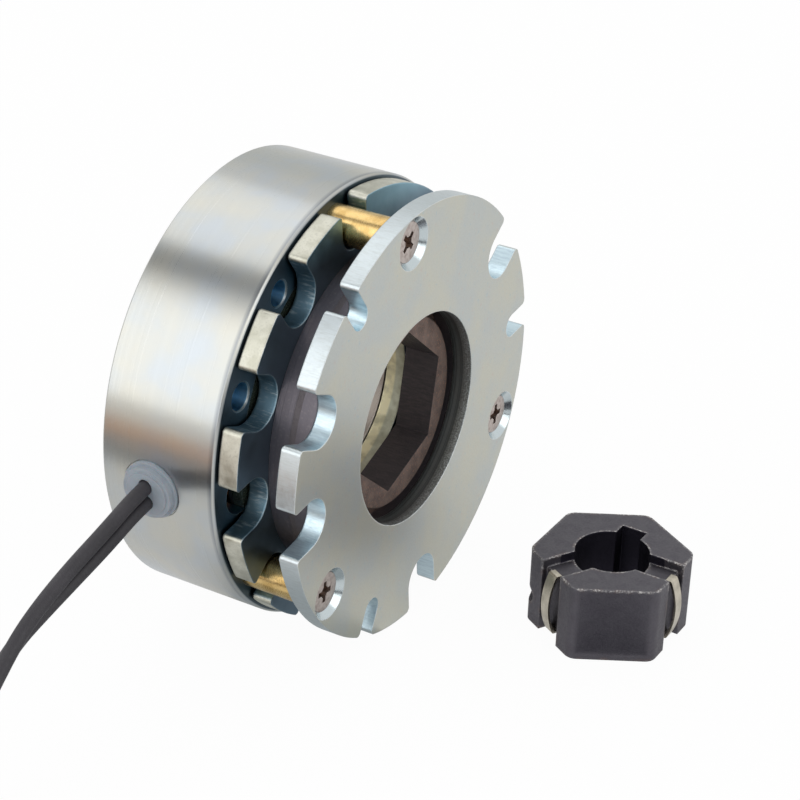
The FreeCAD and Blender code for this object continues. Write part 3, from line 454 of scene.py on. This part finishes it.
def dark_rotor(colours):
    """Dark stained aluminium carrier: dull brown with darker stains, reddish specks and a soft
    sheen, nearly black inside the hexagon and greyer on the rim."""
    material, tree = new_material("stained_aluminium")
    grain = cloudy(tree, 0.45 * MM, 4.0).outputs[0]
    _, radius = axis_and_radius(tree)
    stains = cloudy(tree, 2.5 * MM, 5.0).outputs[0]
    speckled = blend(tree, ramp(tree, stains, 0.4, 0.62, 0.0, 0.75),
                     opaque(colours.rotor), opaque(linear("544742")))
    speckled = blend(tree, ramp(tree, grain, 0.52, 0.66, 0.0, 0.7), speckled,
                     opaque(linear("987666")))
    in_hexagon = both(tree, ramp(tree, facing(tree), 0.7, 0.3),
                      ramp(tree, radius, HEXAGON_LIMIT + 0.4 * MM, HEXAGON_LIMIT))
    strokes = stretched_noise(tree, 0.4 * MM, 6).outputs[0]
    walls = blend(tree, ramp(tree, strokes, 0.4, 0.65), opaque(linear("4A4648")),
                  opaque(linear("575052")))
    colour = blend(tree, in_hexagon, speckled, walls)
    on_rim = ramp(tree, radius, ROTOR_RIM_LIMIT - 1.0 * MM, ROTOR_RIM_LIMIT)
    colour = blend(tree, on_rim, colour, opaque(linear("5C575A")))
    normal = bumped(tree, grain, 0.05 * MM, rounded_edge(tree, 0.15 * MM))
    metal(tree, colour, ramp(tree, grain, 0.3, 0.7, 0.42, 0.6), normal, 0.7)
    return material


def friction_lining(colours):
    """Pressed friction compound with graphite in it: dark purple-grey with lighter specks and
    turned lines, and a dull metallic gloss where it mirrors the light."""
    material, tree = new_material("pressed_friction_compound")
    lines = turned_lines(tree, 0.35 * MM).outputs[0]
    specks = cloudy(tree, 0.5 * MM, 4.0).outputs[0]
    colour = blend(tree, ramp(tree, specks, 0.55, 0.75, 0.0, 0.6),
                   opaque(colours.lining), opaque(linear("787274")))
    normal = bumped(tree, lines, 0.05 * MM, add(tree, "NewGeometry").outputs["Normal"])
    metal(tree, colour, 0.42, normal, 0.8)
    return material


def oiled_dark_steel(colours):
    """Dark oiled steel of the hub: blue-black grey, with painted shade darkening the bore, the
    edges worn to bare metal in patches, most of all near the top, and a hint of rust beside them."""
    material, tree = new_material("oiled_dark_steel")
    grain = cloudy(tree, 0.45 * MM, 5.0).outputs[0]
    broad = cloudy(tree, 2 * MM, 4.0).outputs[0]
    distance, level, height = upright(tree, HUB_CENTRE)
    lying = ramp(tree, level, 0.3, 0.8)
    near_top = ramp(tree, height, hub_high.z - 2.6 * MM, hub_high.z - 1.9 * MM, 0.2, 1.0)
    base = blend(tree, lying, opaque(linear("5C5A60")), opaque(colours.hub))
    base = blend(tree, ramp(tree, broad, 0.4, 0.65, 0.0, 0.5), base, opaque(linear("545158")))
    near = edge_share(tree, 1.4 * MM, 0.9, 1.0)
    rust = both(tree, near, ramp(tree, broad, 0.48, 0.64, 0.0, 0.5))
    tinted = blend(tree, rust, base, opaque(linear("75625A")))
    close = edge_share(tree, 1.0 * MM, 0.85, 0.985)
    worn = both(tree, both(tree, close, near_top), ramp(tree, grain, 0.45, 0.6, 0.1, 1.0))
    worn = both(tree, worn, ramp(tree, broad, 0.38, 0.58, 0.25, 1.0))
    colour = blend(tree, worn, tinted, opaque(colours.wear))
    # Painted shade darkening the bore
    painted_bore_shade = both(tree, ramp(tree, distance, HUB_BORE_LIMIT + 0.3 * MM, HUB_BORE_LIMIT),
                 ramp(tree, level, 0.6, 0.3))
    colour = blend(tree, painted_bore_shade, colour, opaque(linear("33313B")))
    normal = bumped(tree, grain, 0.03 * MM, rounded_edge(tree, 0.4 * MM))
    metal(tree, colour, ramp(tree, grain, 0.3, 0.7, 0.42, 0.6), normal)
    return material


def bright_spring_steel(colours):
    """Rolled spring strip and wire: bright beige silver with faint lines."""
    material, tree = new_material("bright_spring_steel")
    lines = stretched_noise(tree, 0.2 * MM, 0.2).outputs[0]
    stains = cloudy(tree, 2 * MM).outputs[0]
    colour = blend(tree, ramp(tree, stains, 0.4, 0.7),
                   opaque(colours.clip), opaque(linear("A8A294")))
    normal = bumped(tree, lines, 0.004 * MM, rounded_edge(tree, 0.08 * MM))
    metal(tree, colour, ramp(tree, lines, 0.3, 0.7, 0.25, 0.4), normal)
    return material


def black_oxide_steel():
    """Black oxide set screw: satin black with a faint sheen."""
    material, tree = new_material("black_oxide_steel")
    grain = cloudy(tree, 0.4 * MM, 3.0).outputs[0]
    normal = bumped(tree, grain, 0.02 * MM, rounded_edge(tree, 0.1 * MM))
    metal(tree, opaque(linear("2B2A2C")), ramp(tree, grain, 0.3, 0.7, 0.35, 0.5), normal)
    return material


def lead_jacket(colours):
    """Extruded soft PVC jacket: dark grey and satin, with a slightly uneven skin."""
    material, tree = new_material("extruded_pvc_jacket")
    skin = cloudy(tree, 0.6 * MM, 3.0).outputs[0]
    dust = cloudy(tree, 6 * MM, 3.0).outputs[0]
    colour = blend(tree, ramp(tree, dust, 0.45, 0.75, 0.0, 0.5),
                   opaque(colours.jacket), opaque(linear("38353B")))
    normal = bumped(tree, skin, 0.02 * MM, add(tree, "NewGeometry").outputs["Normal"])
    surface(tree, add(tree, "BsdfPrincipled", inputs={
        "Base Color": colour, "IOR": 1.53, "Normal": normal,
        "Roughness": ramp(tree, skin, 0.3, 0.7, 0.52, 0.64)}))
    return material


def moulded_plastic(name, colour, second, glow=0.0, rough=0.35):
    """Moulded thermoplastic: smooth, with faint clouds of tone and an eroded mould skin."""
    material, tree = new_material(name)
    clouds = cloudy(tree, 3 * MM).outputs[0]
    skin = cloudy(tree, 0.35 * MM, 2.0).outputs[0]
    tone = blend(tree, ramp(tree, clouds, 0.35, 0.7), opaque(colour), opaque(second))
    normal = bumped(tree, skin, 0.008 * MM, rounded_edge(tree, 0.25 * MM))
    surface(tree, add(tree, "BsdfPrincipled", inputs={
        "Base Color": tone, "IOR": 1.5, "Subsurface Weight": glow, "Subsurface Scale": 1.5 * MM,
        "Roughness": ramp(tree, skin, 0.3, 0.7, rough, rough + 0.1), "Normal": normal}))
    return material


def wound_copper():
    """Enamelled copper wire, wound in layers: fine warm ridges round the axis."""
    material, tree = new_material("enamelled_copper_wire")
    along, _ = axis_and_radius(tree)
    ridges = add(tree, "TexWave", {"bands_direction": "X"}, {
        "Vector": add(tree, "CombineXYZ", inputs={0: along}).outputs[0],
        "Scale": WAVE_REPEAT / (0.3 * MM)}).outputs[1]
    normal = bumped(tree, ridges, 0.1 * MM, add(tree, "NewGeometry").outputs["Normal"])
    surface(tree, add(tree, "BsdfPrincipled", inputs={
        "Base Color": opaque(linear("A5562B")), "Metallic": 1.0, "Roughness": 0.3,
        "Coat Weight": 0.6, "Normal": normal}))
    return material


def tinned_strands():
    """Tinned copper strands under solder: dull silver, faintly lumpy and unevenly bright."""
    material, tree = new_material("tinned_copper_strands")
    lumps = cloudy(tree, 0.4 * MM, 3.0).outputs[0]
    normal = bumped(tree, lumps, 0.05 * MM, add(tree, "NewGeometry").outputs["Normal"])
    metal(tree, opaque(linear("C6C6C8")), ramp(tree, lumps, 0.3, 0.7, 0.22, 0.45), normal)
    return material


def dress(material, *names):
    """Give CAD nodes a finish."""
    for name in names:
        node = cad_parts[name]
        for slot in node.material_slots:
            slot.material = material


# Each lead's free route, in metres: out of the magnet body, down to the floor and to the coil
LEAD_1_ROUTE = [
    (0.0104, -0.0365, -0.0013),
    (0.0104, -0.0452, -0.0020),
    (0.0104, -0.0553, -0.0048),
    (0.0104, -0.0645, -0.0069),
    (0.0104, -0.0728, -0.0095),
    (0.0104, -0.0795, -0.0126),
    (0.0105, -0.0866, -0.0181),
    (0.0107, -0.0940, -0.0242),
    (0.0108, -0.1008, -0.0284),
    (0.01085, -0.1076, -0.0306),
    (0.0109, -0.1144, -0.0312),
]

LEAD_2_ROUTE = [
    (0.0104, -0.0363, -0.0045),
    (0.0104, -0.0449, -0.0051),
    (0.0104, -0.0545, -0.0077),
    (0.0103, -0.0638, -0.0097),
    (0.0097, -0.0718, -0.0121),
    (0.0089, -0.0783, -0.0147),
    (0.0083, -0.0854, -0.0197),
    (0.0081, -0.0933, -0.0253),
    (0.0080, -0.1006, -0.0290),
    (0.0080, -0.1066, -0.0307),
    (0.0081, -0.1109, -0.0312),
]

POINTS_PER_TURN = 24

# The last share of a turn, over which a lead comes down to the height of its tail
COMING_DOWN = 0.45

# From the floor to the lowest turn's skin, and from the coil solid's top to the top turn's middle
FLOOR_GAP = 0.85 * MM
TOP_GAP = 1.45 * MM

# Each lead: piece, route, radius of its turns, number of turns, straight tail and CAD solid
LEADS = (
    ("lead_wire_1", LEAD_1_ROUTE, 17.375 * MM, 2.695, 10.0 * MM, "lead_1"),
    ("lead_wire_2", LEAD_2_ROUTE, 14.625 * MM, 3.1661, 13.5 * MM, "lead_2"),
)


def coil_turns(lane, turns, top, bottom, tail, sizes):
    """Points of a lead's turns, clockwise from above, and of the tail that leaves the coil."""
    count = round(turns * POINTS_PER_TURN)
    step = turns * 2 * math.pi / count
    reach = lane / math.cos(step / 2)
    points = []
    for index in range(count + 1):
        angle = -step * index
        height = max(top - sizes.pitch * index / POINTS_PER_TURN, bottom)
        left = turns - index / POINTS_PER_TURN
        if left < COMING_DOWN:
            height = bottom + (height - bottom) * left / COMING_DOWN
        points.append((COIL_CENTRE.x + reach * math.cos(angle),
                       COIL_CENTRE.y + reach * math.sin(angle), height))
    angle = -step * count
    for share in (0.5, 1.0):
        along = tail * share
        points.append((COIL_CENTRE.x + lane * math.cos(angle) + along * math.sin(angle),
                       COIL_CENTRE.y + lane * math.sin(angle) - along * math.cos(angle), bottom))
    return points


def lead_curve(name, points, sizes, material):
    """A round tube on one smooth spline through the lead's route."""
    curve = bpy.data.curves.new(name, "CURVE")
    curve.dimensions = "3D"
    curve.bevel_depth = sizes.diameter / 2
    curve.bevel_resolution = 6
    curve.resolution_u = 6
    curve.use_fill_caps = True
    spline = curve.splines.new("NURBS")
    spline.points.add(len(points) - 1)
    for point, place in zip(spline.points, points):
        point.co = (*place, 1.0)
    spline.order_u = 3
    spline.use_endpoint_u = True
    lead = bpy.data.objects.new(name, curve)
    bpy.context.scene.collection.objects.link(lead)
    lead.data.materials.append(material)
    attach(lead, STATOR)
    return lead


class BRAKE_OT_camera(bpy.types.Operator):
    """Place the camera at the photograph's viewing angle"""

    bl_idname = "brake.camera"
    bl_label = "Camera"

    def execute(self, context):
        turn = math.radians(CAMERA_TURN)
        lift = math.radians(CAMERA_LIFT)
        roll = math.radians(CAMERA_ROLL)
        back = Vector((math.cos(lift) * math.cos(turn), math.cos(lift) * math.sin(turn),
                       math.sin(lift)))
        right = back.cross(Vector((0, 0, -1))).normalized()
        down = right.cross(back)
        image_right = right * math.cos(roll) + down * math.sin(roll)
        image_up = right * math.sin(roll) - down * math.cos(roll)
        lens = bpy.data.cameras.new("Camera")
        lens.sensor_width = SENSOR_WIDTH_MM
        lens.lens = FOCAL_LENGTH_MM
        lens.clip_start = 10 * MM
        camera = bpy.data.objects.new("Camera", lens)
        context.scene.collection.objects.link(camera)
        axes = Matrix((image_right, image_up, back)).transposed()
        camera.matrix_world = Matrix.Translation(Vector(CAMERA_PLACE)) @ axes.to_4x4()
        context.scene.camera = camera
        return {"FINISHED"}


class BRAKE_OT_leads(bpy.types.Operator):
    """Lay the two leads: out of the grommet, down to the floor and into their coil"""

    bl_idname = "brake.leads"
    bl_label = "Leads"

    def execute(self, context):
        sizes = context.scene.brake_leads
        material = lead_jacket(context.scene.brake_colours)
        bottom = FLOOR + FLOOR_GAP + sizes.diameter / 2
        top = coil_high.z - TOP_GAP
        for name, route, lane, turns, tail, node in LEADS:
            points = route + coil_turns(lane, turns, top, bottom, tail, sizes)
            lead = lead_curve(name, points, sizes, material)
            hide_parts(node, "lead_coil")
        dress(tinned_strands(), "lead_1_tip", "lead_2_tip")
        black = moulded_plastic("moulded_nylon", linear("262626"), linear("303030"))
        dress(black, "coil_tie")
        return {"FINISHED"}


class BRAKE_OT_magnet_body(bpy.types.Operator):
    """Finish the magnet body and what lies in its groove"""

    bl_idname = "brake.magnet_body"
    bl_label = "Magnet body"

    def execute(self, context):
        colours = context.scene.brake_colours
        dress(turned_zinc_plate(colours), "field_core")
        dress(wound_copper(), "coil_winding")
        dress(moulded_plastic("moulded_bobbin_nylon", linear("2E2E30"), linear("38383A")),
              "coil_bobbin")
        dress(moulded_plastic("cast_potting_resin", linear("2A302C"), linear("353D33"), rough=0.2),
              "coil_potting")
        dress(moulded_plastic("shrink_sleeve", linear("29282A"), linear("323133"), rough=0.5),
              "lead_splices")
        dress(moulded_plastic("milky_polyamide", colours.grommet, linear("8A949D"), glow=0.2),
              "lead_grommet")
        return {"FINISHED"}


class BRAKE_OT_armature(bpy.types.Operator):
    """Finish the armature plate and the springs behind it"""

    bl_idname = "brake.armature"
    bl_label = "Armature"

    def execute(self, context):
        colours = context.scene.brake_colours
        dress(chromated_armature(colours), "armature_plate")
        dress(bright_spring_steel(colours), "torque_springs")
        return {"FINISHED"}


class BRAKE_OT_rotor(bpy.types.Operator):
    """Finish the rotor carrier and its two friction rings"""

    bl_idname = "brake.rotor"
    bl_label = "Rotor"

    def execute(self, context):
        colours = context.scene.brake_colours
        dress(dark_rotor(colours), "rotor_core")
        dress(friction_lining(colours), "friction_lining_rear", "friction_lining_front")
        return {"FINISHED"}


class BRAKE_OT_side_plate(bpy.types.Operator):
    """Finish the side plate, its collars and its screws"""

    bl_idname = "brake.side_plate"
    bl_label = "Side plate"

    def execute(self, context):
        colours = context.scene.brake_colours
        dress(plated_side_plate(colours), "side_plate")
        dress(turned_brass(colours), "collar_1", "collar_2", "collar_3")
        dress(plated_screw_head(colours), "plate_screw_1", "plate_screw_2", "plate_screw_3")
        return {"FINISHED"}


class BRAKE_OT_hub(bpy.types.Operator):
    """Finish the hexagon hub, its spring clips and its set screw"""

    bl_idname = "brake.hub"
    bl_label = "Hub"

    def execute(self, context):
        colours = context.scene.brake_colours
        dress(oiled_dark_steel(colours), "rotor_hub")
        dress(bright_spring_steel(colours), "hub_spring_left", "hub_spring_right")
        dress(black_oxide_steel(), "hub_set_screw")
        return {"FINISHED"}


def seen_white(tree):
    """1 for rays from the camera and from metal and glass, which see the white surround."""
    path = add(tree, "LightPath")
    seen = add(tree, "Math", {"operation": "MAXIMUM"}, {
        0: path.outputs["Is Camera Ray"], 1: path.outputs["Is Glossy Ray"]})
    seen = add(tree, "Math", {"operation": "MAXIMUM"}, {
        0: seen.outputs[0], 1: path.outputs["Is Transmission Ray"]})
    return seen.outputs[0]


# Softboxes: direction from the brake, distance and width in metres, radiance
SOFTBOXES = (
    ("Left_softbox", (-0.43, -0.805, 0.41), 1.3, 1.2, 1.1),
    ("Top_softbox", (-0.43, 0.203, 0.88), 1.2, 0.83, 0.7),
    ("Right_softbox", (0.88, -0.15, 0.42), 1.3, 0.75, 1.3),
)


def on_floor(low_x, high_x, low_y, high_y):
    """Corners of a level card just above the floor."""
    height = FLOOR + MM
    return [(low_x, low_y, height), (high_x, low_y, height), (high_x, high_y, height),
            (low_x, high_y, height)]


# Cards: name, colour and corners in metres. Each shows only as a reflection in metal
CARDS = (
    ("Dark_card", "9A9C9F", [
        (-1.2, -0.38, 0.80), (0.4, -0.38, 0.80), (0.4, -0.19, 0.90), (-1.2, -0.19, 0.90)]),
    ("Brown_board", "E6B490", on_floor(-0.25, 0.06, -0.265, -0.168)),
    # Painted shadow: grey card where the brake's contact shadow lies on the floor beside it
    ("Grey_shadow_board", "A2A6AC", on_floor(-0.25, 0.06, -0.168, -0.10)),
    # Painted shadow: the contact shadow on the floor under the side plate
    ("Under_shadow_card", "AEB2B3", on_floor(0.012, 0.06, -0.052, -0.01)),
    # Painted shadow: the hub's contact shadow on the floor in front of it
    ("Hub_shadow_card", "8A8A90", [
        (0.0731, 0.0018, FLOOR + MM), (0.0910, -0.0340, FLOOR + MM),
        (0.1066, -0.0252, FLOOR + MM), (0.0853, 0.0086, FLOOR + MM)]),
    ("Back_card", "E4E6E5", [
        (-1.0, 0.9, 0.05), (0.3, 0.9, 0.05), (0.3, 0.9, 0.65), (-1.0, 0.9, 0.65)]),
    ("Low_flag", "26272A", [
        (0.77, -0.92, FLOOR), (1.18, -0.21, FLOOR), (1.18, -0.21, 0.12), (0.77, -0.92, 0.12)]),
)


class BRAKE_OT_stage(bpy.types.Operator):
    """Set up the plain floor, the white surround, the soft lamps and the cards"""

    bl_idname = "brake.stage"
    bl_label = "Studio"

    def execute(self, context):
        studio = context.scene.brake_studio
        self.make_world(context, studio)
        self.make_floor(context, studio)
        for name, direction, distance, width, radiance in SOFTBOXES:
            self.make_softbox(context, name, Vector(direction).normalized(), distance, width,
                              radiance)
        for name, code, corners in CARDS:
            self.make_card(context, name, code, corners)
        return {"FINISHED"}

    def make_world(self, context, studio):
        world = bpy.data.worlds.new("Studio")
        world.use_nodes = True
        tree = world.node_tree
        tree.nodes.clear()
        level = ramp(tree, seen_white(tree), 0.0, 1.0, studio.world_level, 1.0)
        light = add(tree, "Background", inputs={0: (1.0, 1.0, 1.0, 1.0), 1: level})
        add(tree, "OutputWorld", inputs={0: light.outputs[0]})
        context.scene.world = world

    def make_flat(self, context, name, corners, material):
        mesh = bpy.data.meshes.new(name)
        mesh.from_pydata(corners, [], [tuple(range(len(corners)))])
        mesh.materials.append(material)
        flat = bpy.data.objects.new(name, mesh)
        context.scene.collection.objects.link(flat)
        return flat

    def make_floor(self, context, studio):
        half = studio.floor_size / 2
        material, tree = new_material("white_paper")
        camera = add(tree, "LightPath").outputs["Is Camera Ray"]
        share = ramp(tree, camera, 0.0, 1.0, studio.mirrored_share, studio.bright_share)
        share = both(tree, share, seen_white(tree))
        paper = add(tree, "BsdfDiffuse", inputs={0: opaque(linear("F2F2F2"))})
        white = add(tree, "Emission", inputs={0: (1.0, 1.0, 1.0, 1.0), 1: 1.0})
        surface(tree, add(tree, "MixShader", inputs={
            0: share, 1: paper.outputs[0], 2: white.outputs[0]}))
        self.make_flat(context, "Floor", [
            (-half, -half, FLOOR), (half, -half, FLOOR), (half, half, FLOOR),
            (-half, half, FLOOR)], material)

    def make_card(self, context, name, code, corners):
        """A card that only shows as a reflection in metal."""
        material, tree = new_material(name.lower())
        surface(tree, add(tree, "Emission", inputs={0: opaque(linear(code)), 1: 1.0}))
        card = self.make_flat(context, name, corners, material)
        card.visible_camera = False
        card.visible_diffuse = False
        card.visible_transmission = False
        card.visible_shadow = False

    def make_softbox(self, context, name, direction, distance, width, radiance):
        light = bpy.data.lights.new(name, "AREA")
        light.size = width
        light.energy = radiance * math.pi * width ** 2
        lamp = bpy.data.objects.new(name, light)
        context.scene.collection.objects.link(lamp)
        lamp.location = direction * distance
        lamp.rotation_euler = (-direction).to_track_quat("-Z", "Y").to_euler()


class BRAKE_PT_panel(bpy.types.Panel):
    """Lists the sizes, the colours and the pieces"""

    bl_idname = "BRAKE_PT_panel"
    bl_label = "Motor brake"
    bl_space_type = "VIEW_3D"
    bl_region_type = "UI"
    bl_category = "Brake"

    def draw(self, context):
        for group in (context.scene.brake_leads, context.scene.brake_colours,
                      context.scene.brake_studio):
            box = self.layout.box()
            for name in group.__annotations__:
                box.prop(group, name)
        for operator in OPERATORS:
            self.layout.operator(operator.bl_idname)


OPERATORS = (
    BRAKE_OT_camera,
    BRAKE_OT_leads,
    BRAKE_OT_stage,
    BRAKE_OT_magnet_body,
    BRAKE_OT_armature,
    BRAKE_OT_rotor,
    BRAKE_OT_side_plate,
    BRAKE_OT_hub,
)
GROUPS = (BrakeColours, LeadSizes, StudioSettings)


def register():
    for item in (*GROUPS, *OPERATORS, BRAKE_PT_panel):
        bpy.utils.register_class(item)
    bpy.types.Scene.brake_colours = bpy.props.PointerProperty(type=BrakeColours)
    bpy.types.Scene.brake_leads = bpy.props.PointerProperty(type=LeadSizes)
    bpy.types.Scene.brake_studio = bpy.props.PointerProperty(type=StudioSettings)


def unregister():
    del bpy.types.Scene.brake_studio
    del bpy.types.Scene.brake_leads
    del bpy.types.Scene.brake_colours
    for item in reversed((*GROUPS, *OPERATORS, BRAKE_PT_panel)):
        bpy.utils.unregister_class(item)


def main():
    register()
    bpy.context.scene.view_settings.view_transform = "Standard"
    for operator in OPERATORS:
        group, name = operator.bl_idname.split(".")
        getattr(getattr(bpy.ops, group), name)()


if __name__ == "__main__":
    main()
